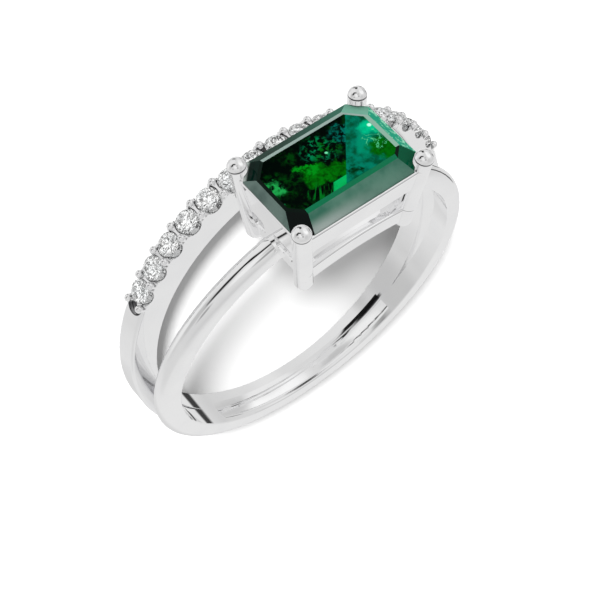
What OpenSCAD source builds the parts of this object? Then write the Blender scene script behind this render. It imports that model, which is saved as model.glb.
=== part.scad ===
// Statement ring lying on its side: a plain band and a stone-set band that part
// from one shank, with a step-cut emerald in a four-claw basket on the plain band.
// Millimetres. In the ring's own frame z runs along the finger hole, the head
// points to -y, and angles along a band count from the head's middle.

/* [Finger hole] */
// Radius of the finger hole
finger_r = 8.65; // [8:0.05:9.5]

/* [Plain band] */
// Width of the plain band along the finger
plain_w = 1.122; // [1:0.002:1.3]
// Height of its flat sides above the finger hole, halfway round
plain_side = 0.629; // [0.5:0.001:0.8]
// How far its outer circle is moved away from the head
plain_shift = 0.163; // [0:0.001:0.25]
// Place of its middle along the finger
plain_z = -1.248; // [-1.4:0.001:-1.1]
// Tilt of its plane, towards the open end at the head
plain_tilt = 5.27; // [4:0.01:6]

/* [Stone band] */
// Width of the stone band
row_w = 1.256; // [1.2:0.001:1.4]
// Radius of its outer circle
row_r = 10.062; // [9.9:0.001:10.2]
// How far its outer circle is moved towards the head
row_shift = 0.31; // [0.2:0.001:0.4]
// Place of its middle along the finger
row_z = -3.336; // [-3.5:0.001:-3.2]
// Tilt of its plane, the other way
row_tilt = 3.81; // [3:0.01:5]
// Rounding of its outer edges
row_edge = 0.15; // [0.05:0.01:0.2]

/* [Row of small stones] */
// Number of small stones
stones = 16; // [12:1:16]
// Diameter of a small stone
stone_d = 1.2; // [1.1:0.01:1.22]
// Angle from one stone to the next
pitch = 7.839; // [7.7:0.001:8.2]
// Angle of the row's middle
row_mid = 4.166; // [0:0.001:6]
// Radius at which the stones' girdles lie
girdle_r = 10.30; // [10.25:0.01:10.35]
// Radius of the round cut across the band under each stone
scallop_r = 0.50; // [0.45:0.01:0.55]
// Radius at which the round cuts have their axes
scallop_ring_r = 10.42; // [10.35:0.01:10.45]
// Radius of a bead
bead_r = 0.2; // [0.15:0.005:0.2]
// Distance of a bead from the band's middle plane
bead_z = 0.45; // [0.42:0.005:0.45]
// Radius at which the beads' centres lie
bead_ring_r = 10.357; // [10.3:0.001:10.4]

/* [Shared shank] */
// Edge of the recess inside the shank, towards the plain band's face
recess_near = -1.6; // [-1.7:0.01:-1.55]
// Where its domed floor runs out, towards the stone band's face
recess_far = -2.82; // [-2.9:0.01:-2.7]
// Radius of its domed floor
recess_dome = 2.2; // [2:0.05:3.5]
// Angle of its straight end
recess_from = 137.3; // [134:0.1:140]
// Angle of its round end
recess_to = 222.5; // [220:0.5:226]

/* [Emerald] */
// Half of its length
gem_x = 3.52; // [3.4:0.01:3.55]
// Half of its width
gem_y = 2.44; // [2.35:0.01:2.46]
// How much each corner takes off both sides
gem_corner = 0.75; // [0.6:0.01:0.8]
// Height of the girdle's upper edge above the finger axis
gem_top = 12.59; // [12.5:0.01:12.65]
// Height of the crown's wide step and of the table above the girdle
gem_step = 0.41; // [0.3:0.01:0.5]
gem_table = 0.47; // [0.4:0.01:0.6]

/* [Basket] */
// Half of the basket's length at the lower edge
basket_x1 = 3.05; // [3:0.01:3.1]
// Half of its length at the upper edge
basket_x2 = 3.60; // [3.58:0.01:3.65]
// Half of its width at the lower edge
basket_y1 = 2.055; // [2:0.005:2.1]
// Half of its width at the upper edge
basket_y2 = 2.53; // [2.5:0.01:2.56]
// Height of its upper edge above the finger axis
basket_top = 12.48; // [12.4:0.01:12.5]
// Lower edge of the upper rail on the long sides
upper_long = 11.18; // [11:0.01:11.3]
// Lower edge of the upper rail on the short sides
upper_short = 10.6; // [10.4:0.01:10.8]
// Lower and upper edge of the lower rail in the middle of a long side
low_long = 8.81; // [8.75:0.01:8.9]
top_long = 9.80; // [9.7:0.01:9.9]
// Lower and upper edge of the lower rail on the short sides
low_short = 8.73; // [8.7:0.01:8.8]
top_short = 9.55; // [9.5:0.01:9.6]
// Radius to which the long lower rails are arched
arch_r = 17.5; // [15:0.5:25]
// Half of the opening inside the lower rail, along and across
inner_x = 2.35; // [2.2:0.05:2.5]
inner_y = 1.42; // [1.3:0.01:1.6]

/* [Claws] */
// Radius of a claw
claw_r = 0.45; // [0.4:0.01:0.45]
// Radius of the ball on its tip
ball_r = 0.46; // [0.46:0.01:0.48]
// Distance of a ball from the middle, along the emerald
ball_x = 3.38; // [3.35:0.01:3.42]
// Distance of a ball from the middle, across the emerald
ball_y = 2.33; // [2.3:0.01:2.36]
// Height of a ball's centre above the finger axis
ball_u = 12.86; // [12.8:0.01:12.96]
// The same three sizes for the claw's lower end
tail_x = 2.89; // [2.85:0.01:2.95]
tail_y = 1.81; // [1.78:0.01:1.9]
tail_u = 8.27; // [8.2:0.01:8.4]

/* [Hidden] */
$fn = 96;
eps = 0.01;
// How far a cut reaches past what it cuts, and the size of a block that only
// bounds another shape
over = 1;
room = 12;
// How deep the bands' sections start inside the finger hole
inside = 0.45;
// The middle of the part's box lies over the origin, and the stone band's flat
// face on z = 0
lift = row_w / 2 - row_z * cos(row_tilt);
move_y = 1.8224;
// Rounded inner edges of both bands
hole_edge = 0.25;
edge_r = 0.28;
hole_lap = 0.1;
groove_r = finger_r - 0.1;
// Recess: inner limit of what is cut, radius of the fillet at its foot, how far the
// dome's crest lies beyond the far edge, and the centres and meeting point of the two
recess_in = finger_r - 0.6;
recess_foot = 0.25;
recess_lead = 0.13;
dome_mid = [finger_r + sqrt(pow(recess_dome, 2) - pow(recess_lead, 2)), recess_far - recess_lead];
foot_z = recess_near - recess_foot;
foot_mid = [dome_mid[0] - sqrt(pow(recess_dome + recess_foot, 2) - pow(foot_z - dome_mid[1], 2)),
    foot_z];
foot_meet = foot_mid + (dome_mid - foot_mid) * recess_foot / (recess_dome + recess_foot);
// Radius of the recess's round end, its angle, and the middle and reach of the sector
recess_end_r = 1;
recess_inset = asin(recess_end_r / finger_r);
recess_mid = (recess_from + recess_to) / 2;
recess_reach = 14;
// Claw: height and width of the ring cut under the ball, and the shoulder below it
neck_r = 0.4;
neck_low = 0.03;
neck_high = 0.075;
shoulder_r = 0.05;
tail_r = 0.15;
neck_reach = 0.2;
// Dome of the plain band, and the box that opens the band at the head
dome_r = plain_w / 2;
head_gap_out = 3;
head_gap_low = -3;
head_gap_high = 1;
// Gap between a stone and its seat
gap = 0.03;
// Seat of a small stone: its straight wall and the cone below it
seat_wall = 0.05;
seat_open = 0.55;
seat_cone = 0.55;
seat_tip_r = 0.05;
// Post under a bead: its length, and how much thinner it is than the bead
bead_post = 0.5;
bead_slim = 0.015;
// Round cut that ends the row: its radius, its angle past the last bead, and its
// depth below the beads' centres
end_cut_r = 0.52;
end_cut_turn = 0.6;
end_cut_deep = 0.4;
// Emerald: heights of the steps from the girdle's lower edge down, and how far
// each lies in from the girdle
gem_low = gem_top - 0.14;
gem_steps = [[0.74, gem_low - 1.06], [1.54, gem_low - 1.86], [2.44, gem_low - 2.49]];
// Emerald: how far the crown's step and table lie in from the girdle, for one
// side and its opposite
crown_ends = [[0.30, 0.46], [0.56, 0.82]];
crown_sides = [[0.76, 1.00], [0.54, 0.74]];
crown_corners_a = [[0.71, 0.87], [0.86, 1.02]];
crown_corners_b = [[0.63, 0.79], [0.78, 0.94]];
gem_cut = (gem_x + gem_y - gem_corner) / sqrt(2);
// Brilliant cut of a small stone
table_r = 0.285 * stone_d;
crown_h = 0.15 * stone_d;
star_r = 0.375 * stone_d;
girdle_h = 0.015 * stone_d;
culet_h = 0.43 * stone_d;
lower_r = 0.125 * stone_d;
// Post that joins the plain band to both rails
post_w = 0.75;
post_y = -0.22;
post_fillet = 0.2;
side_window = 1.45;
post_in = 2.75;
post_lap = 0.2;
post_margin = 0.1;
// Half of the opening inside the upper rail, and of the low arch under its long sides
inner_upper_x = 2.92;
inner_upper_y = 1.88;
arch_x = 2.85;
arch_corner = 0.3;
// Bevelled upper edge of the basket: how far in and how far down each corner lies
basket_bevel = [[0, 0.07], [0.035, 0.015], [0.065, 0]];
// Lip of the lower rails: how far out and how far up each corner lies from the
// rail's upper outer edge; then how much its inner edge rises
rail_lip = [[0.09, -0.05], [0.055, 0], [0.02, 0.015]];
rail_rise = 0.2;
// Half of the long lower rails' length, and how much shorter the short rails are
long_rail_x = 2.9;
short_rail_in = 0.1;
band_end = 2.7;
metal = "gainsboro";

// The ring's own frame laid down on the stone band's flat face
module laid_down() {
    translate([0, move_y, lift]) rotate([-row_tilt, 0, 0]) children();
}

// Frames of the two bands, each with z along the band's own axis
module plain_frame() {
    translate([0, 0, plain_z]) rotate([-plain_tilt, 0, 0]) children();
}

module row_frame() {
    translate([0, 0, row_z]) rotate([row_tilt, 0, 0]) children();
}

// A place on a band: z points outwards, y along the finger
module at_angle(a) {
    rotate([0, 0, -a]) rotate([90, 0, 0]) children();
}

// The head: x along the emerald, y along the finger, z away from the finger
module head_frame() {
    rotate([90, 0, 0]) children();
}

// What a band leaves open inside, with rounded edges
module band_hole(half) {
    rotate_extrude() union() {
        translate([0, -half - over]) square([groove_r, 2 * (half + over)]);
        for (s = [0, 1]) mirror([0, s]) difference() {
            translate([groove_r - hole_lap, half - hole_edge])
                square([hole_lap + edge_r, hole_edge + over]);
            translate([groove_r + edge_r, half - hole_edge]) circle(r = edge_r);
        }
    }
}

// Flat-sided band with a domed outside, open at the head between the posts
module plain_band() {
    difference() {
        plain_frame() difference() {
            translate([0, plain_shift, 0]) rotate_extrude() {
                translate([finger_r - inside, -plain_w / 2])
                    square([plain_side + inside, plain_w]);
                translate([finger_r + plain_side, 0]) circle(r = dome_r);
            }
            band_hole(plain_w / 2);
        }
        translate([-band_end, -finger_r - head_gap_out, head_gap_low])
            cube([2 * band_end, finger_r, head_gap_high - head_gap_low]);
    }
}

// Flat band with rounded outer edges
module stone_band_blank() {
    difference() {
        translate([0, -row_shift, 0]) rotate_extrude() {
            translate([finger_r - inside, -row_w / 2])
                square([row_r - row_edge - finger_r + inside, row_w]);
            translate([finger_r - inside, -row_w / 2 + row_edge])
                square([row_r - finger_r + inside, row_w - 2 * row_edge]);
            for (s = [-1, 1]) translate([row_r - row_edge, s * (row_w / 2 - row_edge)])
                circle(r = row_edge);
        }
        band_hole(row_w / 2);
    }
}

// Seat of one small stone: a round cut across the band, and a cup for the stone
module stone_seat() {
    translate([0, 0, scallop_ring_r]) rotate([90, 0, 0])
        cylinder(r = scallop_r, h = 2 * row_w, center = true);
    translate([0, 0, girdle_r]) {
        translate([0, 0, -seat_wall])
            cylinder(r = stone_d / 2 + gap, h = seat_wall + seat_open);
        translate([0, 0, -seat_wall - seat_cone])
            cylinder(r1 = seat_tip_r, r2 = stone_d / 2 + gap, h = seat_cone);
    }
}

// Two beads with their posts, on the ridge between two stones
module bead_pair() {
    for (s = [-1, 1]) translate([0, s * bead_z, 0]) {
        translate([0, 0, bead_ring_r]) sphere(r = bead_r);
        translate([0, 0, bead_ring_r - bead_post])
            cylinder(r = bead_r - bead_slim, h = bead_post);
    }
}

module stone_band() {
    row_frame() {
        difference() {
            stone_band_blank();
            for (i = [0 : stones - 1])
                at_angle(row_mid + (i - (stones - 1) / 2) * pitch) stone_seat();
            // A shallow round cut ends the row on each side
            for (s = [-1, 1]) at_angle(row_mid + s * (stones / 2 * pitch + end_cut_turn))
                translate([0, 0, bead_ring_r - end_cut_deep])
                    cylinder(r = end_cut_r, h = end_cut_deep + over);
        }
        for (i = [0 : stones]) at_angle(row_mid + (i - stones / 2) * pitch) bead_pair();
    }
}

// Slab across the head at an angle: a side view, given as half widths and heights
// for one side and for the other
module slab(a, plus, minus) {
    n = len(minus) - 1;
    rotate([90, 0, a]) linear_extrude(height = room, center = true)
        polygon(concat(plus, [for (i = [n : -1 : 0]) [-minus[i][0], minus[i][1]]]));
}

// Side of the emerald from the keel to the table, at a distance from the middle
function gem_side(half, grow, crown) = [
    [half + max(grow, eps) - gem_steps[2][0], gem_steps[2][1] - grow],
    [half + grow - gem_steps[1][0], gem_steps[1][1]],
    [half + grow - gem_steps[0][0], gem_steps[0][1]],
    [half + grow, gem_low],
    [half + grow, gem_top + grow],
    [half + grow - crown[0], gem_top + gem_step + grow],
    [half + grow - crown[1], gem_top + gem_table + grow]];

// Emerald cut as the overlap of four slabs
module emerald_cut(grow) {
    intersection() {
        gem_slab(0, gem_x, grow, crown_ends);
        gem_slab(90, gem_y, grow, crown_sides);
        gem_slab(45, gem_cut, grow, crown_corners_a);
        gem_slab(-45, gem_cut, grow, crown_corners_b);
    }
}

module gem_slab(a, half, grow, crown) {
    slab(a, gem_side(half, grow, crown[0]), gem_side(half, grow, crown[1]));
}

// Claw from its rounded lower end to the ball on its tip, with a fine ring cut
// between the shaft's shoulder and the ball
module claw(sx, sy) {
    d = [ball_x - tail_x, ball_y - tail_y, ball_u - tail_u];
    long = norm(d);
    translate([sx * tail_x, sy * tail_y, tail_u])
        rotate([0, acos(d[2] / long), atan2(sy * d[1], sx * d[0])])
            rotate_extrude() {
                square([claw_r - tail_r, long]);
                translate([0, tail_r])
                    square([claw_r, long + neck_low - shoulder_r - tail_r]);
                translate([0, tail_r])
                    square([claw_r - shoulder_r, long + neck_low - tail_r]);
                square([neck_r, long + neck_reach]);
                intersection() {
                    union() {
                        translate([claw_r - tail_r, tail_r]) circle(r = tail_r);
                        translate([claw_r - shoulder_r, long + neck_low - shoulder_r])
                            circle(r = shoulder_r);
                    }
                    square([over, long + over]);
                }
                intersection() {
                    translate([0, long]) circle(r = ball_r);
                    translate([0, long + neck_high]) square([over, over]);
                }
            }
}

// Rectangle with rounded corners, between two heights
module rounded(half, low, high, r) {
    translate([0, (low + high) / 2]) {
        square([2 * half - 2 * r, high - low], center = true);
        square([2 * half, high - low - 2 * r], center = true);
        for (x = [-1, 1], y = [-1, 1])
            translate([x * (half - r), y * ((high - low) / 2 - r)]) circle(r = r);
    }
}

// Sloped side of the basket, with the bevelled upper edge
function basket_side(low, high, from, bevels) = concat([[low, from]],
    [for (i = [0 : bevels ? 2 : 0]) [high - basket_bevel[i][0], basket_top - basket_bevel[i][1]]]);

module basket_block(from, bevels) {
    intersection() {
        slab(0, basket_side(basket_x1, basket_x2, from, bevels),
            basket_side(basket_x1, basket_x2, from, bevels));
        slab(90, basket_side(basket_y1, basket_y2, from, bevels),
            basket_side(basket_y1, basket_y2, from, bevels));
    }
}

// Upper rail: a frame under the girdle, deeper on the short sides
module upper_rail() {
    difference() {
        intersection() {
            basket_block(low_short, true);
            translate([-room / 2, -room / 2, upper_short]) cube(room);
        }
        translate([-inner_upper_x, -inner_upper_y, upper_short - over])
            cube([2 * inner_upper_x, 2 * inner_upper_y, room]);
        rotate([90, 0, 0]) linear_extrude(height = room, center = true)
            rounded(arch_x, upper_short - over, upper_long, arch_corner);
    }
}

// Long lower rail: its section swept along a shallow arch
module long_rail() {
    low = arch_r - top_long + low_long;
    translate([0, 0, top_long - arch_r]) rotate([90, 0, 0]) rotate([0, 0, 90])
        intersection() {
            rotate_extrude() polygon(concat(
                [[low, -inner_y], [low, -basket_y1]],
                [for (c = rail_lip) [arch_r + c[1], -basket_y1 - c[0]]],
                [[arch_r + rail_rise, -inner_y]]));
            translate([0, -long_rail_x, -room / 2]) cube([arch_r + over, 2 * long_rail_x, room]);
        }
}

// Short lower rail, with the same section but straight
module short_rail() {
    rotate([90, 0, 0]) linear_extrude(height = 2 * basket_y1 - short_rail_in, center = true)
        polygon(concat(
            [[inner_x, low_short], [basket_x1, low_short]],
            [for (c = rail_lip) [basket_x1 + c[0], top_short + c[1]]],
            [[inner_x, top_short + rail_rise]]));
}

// Wall between the rails on a short side, with a window on each side of the post
module post() {
    intersection() {
        rotate([90, 0, 90]) linear_extrude(height = room) difference() {
            translate([-basket_y1 + post_margin, top_short - 2 * post_lap])
                square([2 * (basket_y1 - post_margin), upper_short - top_short + 3 * post_lap]);
            window(-side_window, post_y - post_w / 2);
            window(post_y + post_w / 2, side_window);
        }
        basket_block(low_short, false);
        translate([post_in, -room / 2, 0]) cube([over, room, room]);
    }
}

// Window between the rails on a short side, from one place to another
module window(from, to) {
    translate([(from + to) / 2, 0])
        rounded((to - from) / 2, top_short, upper_short, post_fillet);
}

// Two rails, posts and claws
module basket() {
    difference() {
        union() {
            upper_rail();
            for (s = [0, 1]) {
                mirror([0, s, 0]) long_rail();
                mirror([s, 0, 0]) {
                    short_rail();
                    post();
                }
            }
            for (sx = [-1, 1], sy = [-1, 1]) claw(sx, sy);
        }
        emerald_cut(gap);
    }
}

// Hollow along the inside of the shared shank: a low wall towards the plain
// band's face, a fillet at its foot, and a domed floor that rises to nothing
module recess() {
    intersection() {
        rotate_extrude() {
            difference() {
                translate([recess_in, recess_far - recess_lead])
                    square([finger_r + over - recess_in, foot_meet[1] - recess_far + recess_lead]);
                translate(dome_mid) circle(r = recess_dome);
            }
            polygon([[recess_in, foot_meet[1]], foot_meet, foot_mid,
                [foot_mid[0], recess_near], [recess_in, recess_near]]);
            translate(foot_mid) circle(r = recess_foot);
        }
        union() {
            translate([0, 0, recess_far - over])
                linear_extrude(height = recess_near - recess_far + 2 * over)
                polygon([[0, 0], for (a = [recess_from, recess_mid, recess_to - recess_inset])
                    [-recess_reach * sin(a), -recess_reach * cos(a)]]);
            translate([0, 0, (recess_near + recess_far) / 2]) at_angle(recess_to - recess_inset)
                translate([0, 0, finger_r - over]) cylinder(r = recess_end_r, h = 2 * over);
        }
    }
}

// Both bands, the shank they share and the basket, soldered into one piece
module setting() {
    color(metal) laid_down() difference() {
        union() {
            plain_band();
            stone_band();
            head_frame() basket();
        }
        cylinder(r = finger_r, h = 2 * room, center = true);
        recess();
    }
}

module emerald() {
    color("darkgreen") laid_down() head_frame() emerald_cut(0);
}

// Points of a brilliant cut: table, star tips, both girdle rings, lower tips, culet
function ring_points(r, z, n, turn) = [for (i = [0 : n - 1])
    [r * cos(i * 360 / n + turn), r * sin(i * 360 / n + turn), z]];

module brilliant() {
    r = stone_d / 2;
    half = 180 / 8;
    star_z = girdle_h / 2 + crown_h * (r - star_r) / (r - table_r);
    lower_z = -girdle_h / 2 - culet_h * (r - lower_r) / r;
    points = concat(
        ring_points(table_r, girdle_h / 2 + crown_h, 8, 0),
        ring_points(star_r / cos(half), star_z, 8, half),
        ring_points(r, girdle_h / 2, 16, 0),
        ring_points(r, -girdle_h / 2, 16, 0),
        ring_points(lower_r / cos(half), lower_z, 8, half),
        [[0, 0, -girdle_h / 2 - culet_h]]);
    star = 8;
    upper = 16;
    under = 32;
    tip = 48;
    culet = 56;
    faces = concat(
        [[for (i = [7 : -1 : 0]) i]],
        [for (i = [0 : 7]) [i, (i + 1) % 8, star + i]],
        [for (i = [0 : 7]) [i, star + i, upper + 2 * i, star + (i + 7) % 8]],
        [for (i = [0 : 7]) [star + i, upper + 2 * i + 1, upper + 2 * i]],
        [for (i = [0 : 7]) [star + i, upper + (2 * i + 2) % 16, upper + 2 * i + 1]],
        [for (i = [0 : 15]) [upper + i, upper + (i + 1) % 16, under + (i + 1) % 16, under + i]],
        [for (i = [0 : 7]) [culet, tip + (i + 7) % 8, under + 2 * i, tip + i]],
        [for (i = [0 : 7]) [tip + i, under + 2 * i, under + 2 * i + 1]],
        [for (i = [0 : 7]) [tip + i, under + 2 * i + 1, under + (2 * i + 2) % 16]]);
    polyhedron(points = points, faces = faces);
}

// One stone of the row, counted from the left end
module row_stone(i) {
    color("whitesmoke") laid_down() row_frame()
        at_angle(row_mid + (i - (stones + 1) / 2) * pitch)
            translate([0, 0, girdle_r]) rotate([0, 0, 22.5]) brilliant();
}

setting();
emerald();
for (i = [1 : stones]) row_stone(i);
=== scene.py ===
"""A statement ring of polished white metal, lying on its side on a pale floor.

A plain band and a band of small diamonds share one shank and part towards the head,
where a claw basket on the plain band holds a step cut emerald. The shaders work in
millimetres, and everything else is in metres.
"""
import math

import bpy
from mathutils import Matrix, Vector

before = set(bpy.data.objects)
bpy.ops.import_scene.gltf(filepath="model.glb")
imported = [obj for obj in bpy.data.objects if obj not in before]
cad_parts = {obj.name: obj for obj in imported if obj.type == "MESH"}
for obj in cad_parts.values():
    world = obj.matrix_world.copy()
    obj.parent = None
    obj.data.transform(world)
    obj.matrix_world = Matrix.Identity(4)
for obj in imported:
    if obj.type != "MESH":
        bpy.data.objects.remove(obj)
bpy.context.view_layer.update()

MM = 1000.0
# The ring's middle in the scene, in millimetres, and the ring's own directions there:
# along the emerald's long side, along the finger towards the plain band, and up
# through the emerald's table
CENTRE = (0.0, 1.8224, 3.95663)
TILT = math.radians(3.81)
LONG = Vector((-1.0, 0.0, 0.0))
FINGER = Vector((0.0, math.sin(TILT), math.cos(TILT)))
TABLE = Vector((0.0, -math.cos(TILT), math.sin(TILT)))


# ---------------------------------------------------------------- shader tools

class Shade:
    """A socket of a node tree. Arithmetic on it adds Math nodes."""

    def __init__(self, tree, socket=None):
        self.tree = tree
        self.socket = socket

    def node(self, kind, setup, inputs, out=0):
        """A new node of that kind: settings first, then its sockets' values."""
        made = self.tree.nodes.new(kind)
        for name, value in setup.items():
            if name == "stops":
                ramp = made.color_ramp.elements
                while len(ramp) < len(value):
                    ramp.new(0.5)
                for element, (place, colour) in zip(ramp, value):
                    element.position = place
                    element.color = (*colour, 1.0)
            else:
                setattr(made, name, value)
        for name, value in inputs.items():
            if isinstance(value, Shade):
                self.tree.links.new(value.socket, made.inputs[name])
            else:
                made.inputs[name].default_value = value
        return Shade(self.tree, made.outputs[out])

    def maths(self, operation, *values):
        return self.node("ShaderNodeMath", {"operation": operation}, dict(enumerate(values)))

    def __add__(self, other):
        return self.maths("ADD", self, other)

    __radd__ = __add__

    def __mul__(self, other):
        return self.maths("MULTIPLY", self, other)

    __rmul__ = __mul__

    def __sub__(self, other):
        return self.maths("SUBTRACT", self, other)

    def __rsub__(self, other):
        return self.maths("SUBTRACT", other, self)

    def __neg__(self):
        return self * -1.0

    def __abs__(self):
        return self.maths("ABSOLUTE", self)

    def length(self, other):
        """How long a line is that runs this far one way and other far across."""
        return self.maths("SQRT", self * self + other * other)

    def either(self, other):
        """The larger of the two."""
        return self.maths("MAXIMUM", self, other)

    def ease(self, low, high, start=0.0, end=1.0):
        """Goes smoothly from start to end as this goes from low to high."""
        return self.node(
            "ShaderNodeMapRange",
            {"interpolation_type": "SMOOTHSTEP"},
            {0: self, 1: low, 2: high, 3: start, 4: end},
        )

    def fade(self, low, high):
        """Goes smoothly from 1 to 0 as this goes from low to high."""
        return self.ease(low, high, 1.0, 0.0)

    def band(self, rise, full, fall, gone, start=0.0, end=1.0):
        """Goes from start at rise to end at full, stays so up to fall, and is 0 from gone."""
        return self.ease(rise, full, start, end) * self.fade(fall, gone)

    def dot(self, direction):
        """How far this vector reaches along a direction."""
        return self.node(
            "ShaderNodeVectorMath",
            {"operation": "DOT_PRODUCT"},
            {0: self, 1: tuple(direction)},
            out=1,
        )

    def blend(self, under, over):
        """The colour under, turning to the colour over where this is 1."""
        return self.node(
            "ShaderNodeMix",
            {"data_type": "RGBA"},
            {0: self, 6: _rgba(under), 7: _rgba(over)},
            out=2,
        )

    def noise(self, scale, detail=2.0, rough=0.5, distortion=0.0):
        """Noise from 0 to 1 at this place, scale times finer than its unit."""
        return self.node(
            "ShaderNodeTexNoise",
            {},
            {
                "Vector": self,
                "Scale": scale,
                "Detail": detail,
                "Roughness": rough,
                "Distortion": distortion,
            },
        )

    def feed(self, node, name):
        """Links this to a socket of a node."""
        self.tree.links.new(self.socket, node.inputs[name])


def _rgba(colour):
    return colour if isinstance(colour, Shade) else (*colour, 1.0)


def grey(tone):
    return (tone, tone, tone)


def new_finish(name, **constants):
    """A new material: its shader node, and a Shade to build its pattern from.

    The constants are set on the shader's sockets, with _ for a space.
    """
    made = bpy.data.materials.new(name)
    made.use_nodes = True
    shader = made.node_tree.nodes["Principled BSDF"]
    for socket, value in constants.items():
        shader.inputs[socket.replace("_", " ")].default_value = value
    return made, shader, Shade(made.node_tree)


def place_mm(shade, centre=CENTRE):
    """Where a point is from a centre, in millimetres along the scene's axes."""
    here = shade.node("ShaderNodeTexCoord", {}, {}, out="Object")
    return here.node(
        "ShaderNodeMapping",
        {"vector_type": "TEXTURE"},
        {0: here, 1: tuple(v / MM for v in centre), 3: (1 / MM,) * 3},
    )


def way_faced(shade):
    """The direction that a face points in, as a unit vector along the scene's axes."""
    return shade.node("ShaderNodeTexCoord", {}, {}, out="Normal")


# ----------------------------------------------------------------------- metal

# The stone band in millimetres: its middle, the angle of the row's middle, the angle
# from stone to stone, the radius at which the stones' girdles lie and the radius just
# under their seats
ROW_AXIS = (0.0, 1.6007, 0.628)
ROW_MIDDLE, ROW_STEP = math.radians(4.166), math.radians(7.839)
ROW_RADIUS, ROW_LOW = 10.3, 9.6
# How far a bead lies to each side of the band, the last beads' steps from the row's
# middle, and how far beyond them the end notch has its middle
BEAD_SIDE, ROW_END, NOTCH_BEYOND = 0.45, 8.0, 0.108
# A ball on a claw's tip: its middle along and across the head and above the finger's
# axis, and the direction in which the claw leans outwards
BALL = (3.38, 2.33, 12.86)
LEAN = (0.1055, 0.1119, 0.988)
# Lower edge of the upper rails' bevel, and the arch of the lower long rails: its
# radius and the height of its middle
BEVEL_LOW, ARCH_RADIUS, ARCH_MIDDLE = 12.41, 17.5, -7.7
# Where the painted dark streak of shade in the shank's recess lies along the finger
RECESS_STREAK = -2.58

# The painted dark lines of shade and reflection, each by where it starts, is full, begins to
# fade and is gone. In millimetres from the middle of a stone, a bead and a notch, past a
# ball's middle, above the bevel's edge and outside the arch, and in degrees round the finger
CUP_LINE = (0.58, 0.62, 0.635, 0.66)
BEAD_LINE = (0.17, 0.19, 0.21, 0.24)
NOTCH_LINE = (0.47, 0.5, 0.52, 0.55)
BALL_LINE = (0.0, 0.025, 0.085, 0.11)
BEVEL_LINE = (-0.035, -0.015, 0.0, 0.02)
ARCH_LINE = (-0.09, -0.07, -0.055, -0.04)
RECESS_LINE = (20.0, 34.0, 43.0, 45.0)


def row_shade(shade):
    """Painted shade, up to 1 in the small stones' cups, at the beads' feet and in the end
    notches.
    """
    here = place_mm(shade, ROW_AXIS)
    x, y, z = (here.dot(axis) for axis in ((1, 0, 0), (0, 1, 0), (0, 0, 1)))
    out = x.length(y)
    outside = out.ease(ROW_LOW, ROW_LOW + 0.1)
    steps = (shade.maths("ARCTAN2", -x, -y) - ROW_MIDDLE) * (1 / ROW_STEP)
    in_row = abs(steps).fade(ROW_END, ROW_END + 0.02) * outside
    pitch = ROW_STEP * ROW_RADIUS

    # The beads stand at the whole steps, and the stones halfway between them
    cup = ((shade.maths("FRACT", steps) - 0.5) * pitch).length(z)
    cup = cup.band(*CUP_LINE, 0.15, 0.9)
    bead = ((shade.maths("FRACT", steps + 0.5) - 0.5) * pitch).length(abs(z) - BEAD_SIDE)
    foot = bead.band(*BEAD_LINE, 0.0, 0.7) * out.fade(ROW_RADIUS - 0.06, ROW_RADIUS)
    beyond = (abs(steps) - ROW_END) * pitch - NOTCH_BEYOND
    notch = beyond.length(z).band(*NOTCH_LINE) * beyond.ease(0.0, 0.1) * outside

    # The painted shade leaves the band's flat sides bright
    flat = abs(way_faced(shade).dot((0, 0, 1)))
    return (cup.either(foot) * in_row).either(notch) * flat.fade(0.9, 0.98)


def head_shade(here):
    """Up to 1 in painted shade and reflections: a ring under each ball and the long rails'
    edges.
    """
    along, across, level = abs(here.dot(LONG)), abs(here.dot(FINGER)), here.dot(TABLE)
    rise = ((along - BALL[0]) * LEAN[0] + (across - BALL[1]) * LEAN[1]
            + (level - BALL[2]) * LEAN[2])
    bevel = (level - BEVEL_LOW).band(*BEVEL_LINE) * across.ease(2.3, 2.35)
    arch = along.length(level - ARCH_MIDDLE) - ARCH_RADIUS
    lip = arch.band(*ARCH_LINE) * across.ease(2.06, 2.1)
    rails = bevel.either(lip) * along.ease(2.85, 3.1, 0.7, 0.0)
    return rise.band(*BALL_LINE).either(rails)


def recess_shade(shade, here):
    """1 in a painted dark streak of shade along the recess in the shank's inner face."""
    along, front, level = (here.dot(way) for way in (LONG, FINGER, TABLE))
    turn = shade.maths("ARCTAN2", along, -level) * math.degrees(1)
    streak = abs(front - RECESS_STREAK).fade(0.06, 0.14) * turn.band(*RECESS_LINE)
    return streak * along.length(level).fade(9.4, 9.5)


def polished_metal():
    """Bright white metal: mirror polish with faint marks, with painted shade and reflections at
    its cuts and edges.
    """
    made, shader, shade = new_finish("polished_white_metal", Metallic=1.0)
    here = place_mm(shade)
    tint = here.noise(0.6, 3.0).ease(0.3, 0.7).blend((0.93, 0.93, 0.935), grey(0.96))
    # Painted shade and reflections: dark lines in the metal's colour at the cups, beads,
    # notches, balls, rails and recess
    painted_shade = row_shade(shade).either(head_shade(here)).either(recess_shade(shade, here))
    painted_shade.blend(tint, (0.08, 0.08, 0.085)).feed(shader, "Base Color")
    here.noise(2.5, 4.0).ease(0.3, 0.7, 0.035, 0.06).feed(shader, "Roughness")
    return made


# --------------------------------------------------------------------- emerald

# Two directions in the emerald's table that its growth follows
GRAIN = LONG * 0.793 + FINGER * 0.609
FALL = LONG * -0.512 + FINGER * 0.662
# Heights in the emerald, in millimetres above the finger's axis: the girdle's lower
# edge, the top of the crown's wide step, and just under the table
GIRDLE_LOW, STEP_TOP, TABLE_LOW = 12.45, 13.0, 13.057
# How much lighter than the colours below the whole stone is
GAIN = 1.25
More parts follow.
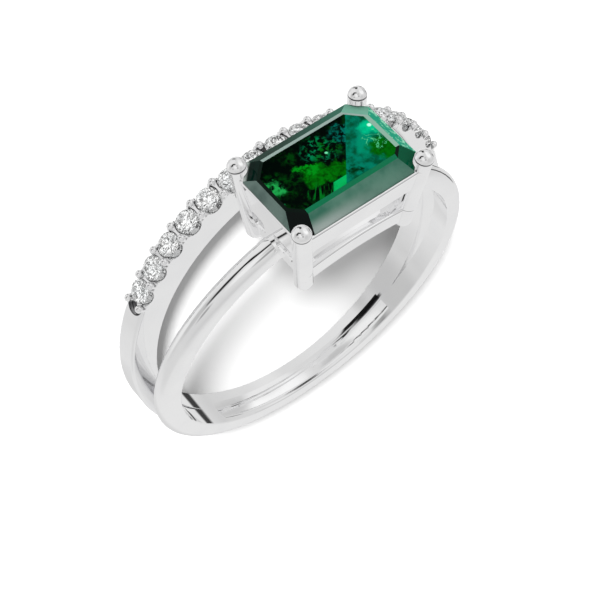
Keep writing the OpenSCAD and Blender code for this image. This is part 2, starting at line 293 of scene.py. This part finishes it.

# Soft ovals on the table, painted light and shade among patches of the stone's own colour:
# their middles along GRAIN and FALL, their half sizes, the share of them that is soft, and
# their colour
GLEAM = (-1.1, 0.42, 0.7, 0.24, 0.6, (0.0, 0.2, 0.006))
SPECKLE = (-0.5, -0.5, 1.0, 0.75, 0.75, ((0.0, 0.16, 0.06), (0.0, 0.09, 0.004)))
HAZE = (0.5, -1.25, 0.7, 0.5, 0.75, (0.0, 0.12, 0.09))
POOL = (-2.5, 1.4, 0.6, 0.5, 0.8, (0.01, 0.28, 0.055))
POOL_TAIL = (-2.3, 2.02, 0.35, 0.16, 0.75, (0.005, 0.2, 0.05))
NEEDLES = (-0.35, 1.5, 0.75, 0.5, 0.75, (0.0, 0.12, 0.01))
TEAL = (1.5, -0.9, 0.5, 0.95, 0.9, (0.0, 0.2, 0.11))
MOSS = (2.35, -0.6, 0.85, 0.6, 0.6, ((0.0, 0.045, 0.0), (0.0, 0.1, 0.002)))
SHADOW = (1.2, 0.45, 0.7, 0.2, 0.6, (0.0, 0.02, 0.004))
GLOW = (1.74, -1.6, 0.55, 0.45, 0.98, (0.0, 0.42, 0.2))
VEINS = (2.1, -1.05, 0.75, 0.55, 0.5, (0.06, 0.45, 0.2))
# Two small painted glints
PAINTED_GLINTS = (
    (1.74, -1.68, 0.13, 0.1, 0.95, (0.45, 0.95, 0.7)),
    (-0.18, -0.34, 0.1, 0.07, 0.95, (0.13, 0.62, 0.32)),
)


def oval(along, down, spot):
    """1 in the middle of a soft oval on the table, 0 outside it."""
    x, y, wide, high, soft = spot[:5]
    i, j = (along - x) * (1 / wide), (down - y) * (1 / high)
    return (i * i + j * j).fade(1 - soft, 1.0)


def emerald_table(shade, here, cloud, fine):
    """Colour and painted light and shade under the table: dark left of the keel's seam, teal
    right.
    """
    front, straight, fall = here.dot(FINGER), here.dot(GRAIN), here.dot(FALL)
    along = straight + (here.noise(1.7, 5.0, 0.62) - 0.5) * 0.9
    down = fall + (here.noise(2.3, 5.0, 0.62) - 0.5) * 0.9
    wave = here.noise(1.9, 3.0, 0.5, 1.2) - 0.5

    def paint(under, spot, grain=None, pair=None):
        """The oval's colour on what is under it, or its two colours mixed by pair."""
        area = oval(along, down, spot)
        colour = pair.blend(*spot[5]) if pair else spot[5]
        return (area * grain if grain else area).blend(under, colour)

    # Left of the seam: near black painted shade with dim wisps, a painted window of light with
    # three soft sides that looks into the green, and veils, painted gleams and pools of light
    # in it
    wisps = cloud.ease(0.45, 0.65) * fine.ease(0.4, 0.6)
    left = wisps.blend((0.0, 0.0015, 0.0008), (0.0, 0.03, 0.002))
    window = ((down + along * 0.22 - 0.13).ease(-0.08, 0.1)
              * (0.98 - down - along * 0.43).ease(-0.06, 0.12)
              * (along + 1.9 - down * 0.69).ease(-0.05, 0.3))
    shine = fine.ease(0.3, 0.65).blend((0.0, 0.035, 0.0), (0.0, 0.125, 0.002))
    left = window.blend(left, shine)
    left = paint(left, GLEAM, fine.ease(0.4, 0.55))
    left = paint(left, SPECKLE, fine.ease(0.47, 0.6), cloud.ease(0.4, 0.6))
    left = paint(left, HAZE, fine.ease(0.42, 0.62))
    left = paint(left, POOL, fine.ease(0.35, 0.6))
    left = paint(left, POOL_TAIL, fine.ease(0.35, 0.5))
    streaks = shade.node("ShaderNodeCombineXYZ", {}, {0: straight * 7.0, 1: fall * 0.9, 2: 0.0})
    left = paint(left, NEEDLES, streaks.noise(1.0, 2.0).ease(0.5, 0.62))
    # A clear pane of painted light at the near end of the seam
    pane = straight.ease(0.08, 0.16) * straight.ease(0.64, 0.86, 1.0, 0.35)
    bright = cloud.ease(0.3, 0.6).blend((0.0, 0.22, 0.035), (0.001, 0.34, 0.08))
    left = (front.ease(1.03, 1.07) * pane).blend(left, bright)

    # Right of the seam: clear teal, with a painted shadow, a painted glow, moss and veins in it
    right = cloud.ease(0.4, 0.6).blend((0.0, 0.055, 0.022), (0.0, 0.15, 0.09))
    right = paint(right, TEAL)
    right = paint(right, MOSS, pair=fine.ease(0.3, 0.6))
    right = paint(right, SHADOW, fine.ease(0.4, 0.6, 1.0, 0.2))
    right = paint(right, GLOW)
    right = paint(right, VEINS, abs(wave).fade(0.004, 0.022))

    table = straight.ease(0.66, 0.7).blend(left, right)
    # A painted strip of light along the front edge, and two small painted glints
    strip = straight.ease(-0.5, 1.8).blend((0.0, 0.09, 0.035), (0.003, 0.15, 0.09))
    table = (front.ease(1.46, 1.49) * straight.ease(-1.3, -0.5)).blend(table, strip)
    for star in PAINTED_GLINTS:
        table = oval(straight, fall, star).blend(table, star[5])
    return table


def emerald_crown(shade, here, level, fine):
    """Painted reflections on the crown's narrow inner and wide outer step, each face by where
    it points.
    """
    facing, straight = way_faced(shade), here.dot(GRAIN)
    ahead, beside = facing.dot(FINGER), facing.dot(LONG)

    def turned(way, other):
        """1 on a side that faces that way, 0 on the corners and the other sides."""
        return (way - abs(other) * 1.5).ease(0.02, 0.06)

    sides = (turned(ahead, beside), turned(-ahead, beside),
             turned(beside, ahead), turned(-beside, ahead))
    to_near, to_right = ahead.ease(-0.05, 0.05), beside.ease(-0.05, 0.05)

    def step(corners, colours):
        """The corners far left, far right, near left and near right, then the sides."""
        look = to_near.blend(to_right.blend(*corners[:2]), to_right.blend(*corners[2:]))
        for side, colour in zip(sides, colours):
            look = side.blend(look, colour)
        return look

    # The steps' faces carry painted reflections: pale where light shows in them, near black
    # where dark shows
    dark = (0.0, 0.004, 0.002)
    inner = step(
        ((0.0, 0.006, 0.003), (0.22, 0.3, 0.27), dark, dark),
        ((0.002, 0.13, 0.055), (0.22, 0.29, 0.265), (0.2, 0.34, 0.27), dark),
    )

    # Outer step: painted reflections with the stone's mist and silk mixed in; rim and bloom are
    # pale painted highlights near the girdle
    mist = here.noise(0.9, 3.0).ease(0.35, 0.65)
    rim = level.fade(12.62, 12.72).blend((0.0, 0.008, 0.005), (0.4, 0.45, 0.42))
    bloom = level.fade(12.6, 12.9) * straight.ease(-1.0, 2.6, 1.0, 0.1)
    near = bloom.blend(mist.blend((0.03, 0.12, 0.08), (0.07, 0.17, 0.125)), (0.3, 0.35, 0.33))
    far = straight.ease(-2.5, 1.0).blend((0.002, 0.02, 0.012), (0.012, 0.085, 0.055))
    silk = (fine + level.ease(12.6, 12.95, 0.1, 0.0)).ease(0.52, 0.72)
    right = silk.blend((0.004, 0.24, 0.14), (0.25, 0.58, 0.4))
    left = mist.blend((0.055, 0.085, 0.075), (0.09, 0.13, 0.115))
    outer = step(
        (rim, (0.12, 0.3, 0.22), (0.0, 0.002, 0.0015), (0.0, 0.07, 0.03)),
        (near, far, right, left),
    )
    return level.ease(STEP_TOP - 0.002, STEP_TOP + 0.002).blend(outer, inner)


def emerald_finish():
    """A deep green stone: dark pavilion, painted light in green windows, silky veils, steps of
    painted reflection.
    """
    made, shader, shade = new_finish("emerald", Roughness=0.03, Specular_IOR_Level=0.0)
    here = place_mm(shade)
    level = here.dot(TABLE)
    cloud = here.noise(1.4, 6.0, 0.6)
    fine = here.noise(4.2, 4.0, 0.6, 0.6)
    on_table = (TABLE_LOW - 0.001, TABLE_LOW + 0.001)
    pavilion = fine.ease(0.4, 0.7).blend((0.0, 0.02, 0.006), (0.0, 0.12, 0.05))
    crown = emerald_crown(shade, here, level, fine)
    stone = level.ease(*on_table).blend(crown, emerald_table(shade, here, cloud, fine))
    stone = level.ease(GIRDLE_LOW - 0.01, GIRDLE_LOW + 0.01).blend(pavilion, stone)
    stone = stone.node("ShaderNodeVectorMath", {"operation": "SCALE"}, {0: stone, 3: GAIN})
    stone.feed(shader, "Base Color")
    level.ease(*on_table, 0.2, 0.03).feed(shader, "Coat Weight")
    return made


# -------------------------------------------------------------- small diamonds

def diamond_finish():
    """Clear small stones: colourless, with the faintest cool and warm clouds."""
    made, shader, shade = new_finish(
        "diamond", Roughness=0.0, IOR=2.42, Transmission_Weight=1.0)
    cloud = place_mm(shade).noise(1.3, 3.0).ease(0.35, 0.65)
    cloud.blend((0.93, 0.955, 0.96), (0.97, 0.965, 0.955)).feed(shader, "Base Color")
    return made


def dress():
    """Puts the finishes in the CAD nodes' slots."""
    finishes = {"setting": polished_metal(), "emerald": emerald_finish()}
    diamond = diamond_finish()
    for name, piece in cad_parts.items():
        finish = finishes.get(name, diamond)
        if not piece.data.materials:
            piece.data.materials.append(finish)
        for slot in piece.material_slots:
            slot.material = finish
    # The metal mirrors no green
    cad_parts["emerald"].visible_glossy = False


# ------------------------------------------------------------- floor and light

# The light tent's tone from straight below the table to straight above it
TENT = (
    (0.0, 0.81), (0.2, 0.77), (0.4, 0.64), (0.575, 0.7), (0.75, 0.75), (0.9, 0.74), (1.0, 0.7),
)
# Cards in the tent: azimuth, height, the degrees within which each is whole and
# beyond which it is gone, and its tone
CARDS = (
    (20, 45, 14, 34, 0.98), (-105, 40, 10, 40, 0.8), (-130, -5, 8, 26, 0.85),
    (-90, -70, 10, 30, 0.7), (0, 10, 6, 25, 0.58), (-62, -25, 8, 26, 0.85),
    (140, 48, 8, 22, 0.88), (75, 15, 8, 25, 0.6), (-10, 45, 8, 24, 0.85),
    (110, 60, 5, 18, 0.55), (170, -20, 10, 35, 0.7), (-65, 32, 7, 12, 0.02),
    (-66, 46, 6, 11, 0.05), (-75, 15, 4, 12, 0.15), (-160, 15, 6, 22, 0.55),
    (-165, 40, 5, 16, 0.24), (108, 36, 3, 12, 0.35), (167, 18, 3, 10, 0.38),
    (-38, -8, 3, 8, 0.05), (-31, -28, 3, 6, 0.05),
)
# The even light on everything that isn't a mirror
AMBIENT = 0.75
# The floor's lamp: azimuth and height, strength and width in degrees
KEY_WAY, KEY_STRENGTH, KEY_WIDTH = (138.7, 62), 14.0, 14.0
FLOOR_SIZE = 3.0

# The camera at the photograph's angle to the ring
CAMERA_PLACE = (0.023653, -0.055288, 0.036852)
CAMERA_RIGHT = (-0.79321, 0.04574, 0.60719)
CAMERA_UP = (-0.51199, -0.58989, -0.62441)
CAMERA_BACK = (0.32963, -0.80618, 0.49133)
FILM_WIDTH, FOCAL_LENGTH = 36.0, 81.25


def towards(azimuth, height):
    """The direction at an azimuth round the table's axis and a height above it."""
    a, h = math.radians(azimuth), math.radians(height)
    level = LONG * math.cos(a) + FINGER * math.sin(a)
    return level * math.cos(h) + TABLE * math.sin(h)


def pale_floor():
    """A plain matt floor that isn't seen in the ring."""
    bpy.ops.mesh.primitive_plane_add(size=FLOOR_SIZE)
    floor = bpy.context.object
    floor.name = "floor"
    made, shader, shade = new_finish("pale_floor", Roughness=0.9, Specular_IOR_Level=0.0)
    mottle = place_mm(shade).noise(0.15, 3.0).ease(0.3, 0.7)
    mottle.blend(grey(0.615), grey(0.625)).feed(shader, "Base Color")
    floor.data.materials.append(made)
    floor.visible_glossy = False
    floor.visible_transmission = False
    return floor


def studio():
    """An even light, and a tent with cards that shows only in the metal and stones."""
    world = bpy.data.worlds.new("studio")
    bpy.context.scene.world = world
    world.use_nodes = True
    shade = Shade(world.node_tree)
    # How far each direction goes up, across and along the head, from -1 to 1
    way = shade.node("ShaderNodeTexCoord", {}, {}, out="Generated")
    up, across, along = way.dot(TABLE), way.dot(FINGER), way.dot(LONG)
    tone = shade.node(
        "ShaderNodeValToRGB",
        {"stops": [(place, grey(value)) for place, value in TENT]},
        {0: up * 0.5 + 0.5},
    )
    for azimuth, height, whole, gone, value in CARDS:
        near = way.dot(towards(azimuth, height))
        card = near.ease(math.cos(math.radians(gone)), math.cos(math.radians(whole)))
        tone = card.blend(tone, grey(value))
    # A thin upright dark card on the far right
    upright = abs(across + 0.05).fade(0.03, 0.06) * along.ease(0.3, 0.5)
    tone = (upright * up.band(-0.68, -0.6, -0.1, -0.02)).blend(tone, grey(0.03))
    # A curved dark card high on the far left
    middle = across + up.ease(0.8, 0.96, 0.25, 0.0)
    curved = middle.band(-0.15, -0.07, 0.1, 0.18) * up.ease(0.3, 0.55) * along.fade(-0.3, -0.2)
    tone = curved.blend(tone, grey(0.01))
    mirrored = shade.node("ShaderNodeLightPath", {}, {}, out="Is Glossy Ray")
    look = mirrored.blend(grey(AMBIENT), tone)
    # Through the small stones: white cards with dark gaps
    sparkle = way.noise(3.2, 1.0).ease(0.42, 0.54, 0.05, 1.3)
    sparkle = shade.node("ShaderNodeCombineColor", {}, {0: sparkle, 1: sparkle, 2: sparkle})
    through = shade.node("ShaderNodeLightPath", {}, {}, out="Is Transmission Ray")
    through.blend(look, sparkle).feed(world.node_tree.nodes["Background"], "Color")


def floor_key(floor):
    """A low soft key light that reaches the floor alone."""
    lamp = bpy.data.lights.new("floor_key", "SUN")
    lamp.energy = KEY_STRENGTH
    lamp.angle = math.radians(KEY_WIDTH)
    stand = bpy.data.objects.new("floor_key", lamp)
    stand.rotation_mode = "QUATERNION"
    stand.rotation_quaternion = towards(*KEY_WAY).to_track_quat("Z", "Y")
    bpy.context.scene.collection.objects.link(stand)
    lit = bpy.data.collections.new("floor_only")
    lit.objects.link(floor)
    stand.light_linking.receiver_collection = lit


def camera():
    lens = bpy.data.cameras.new("camera")
    lens.sensor_width = FILM_WIDTH
    lens.lens = FOCAL_LENGTH
    lens.clip_start, lens.clip_end = 0.002, 20.0
    seat = bpy.data.objects.new("camera", lens)
    turn = Matrix((CAMERA_RIGHT, CAMERA_UP, CAMERA_BACK)).transposed().to_4x4()
    seat.matrix_world = Matrix.Translation(CAMERA_PLACE) @ turn
    bpy.context.scene.collection.objects.link(seat)
    bpy.context.scene.camera = seat


dress()
studio()
floor_key(pale_floor())
camera()
scene = bpy.context.scene
scene.view_settings.view_transform = "Standard"
# Enough bounces for the mirrors inside the basket and between the bands
scene.cycles.glossy_bounces = 16
scene.cycles.max_bounces = 20
scene.cycles.caustics_reflective = False
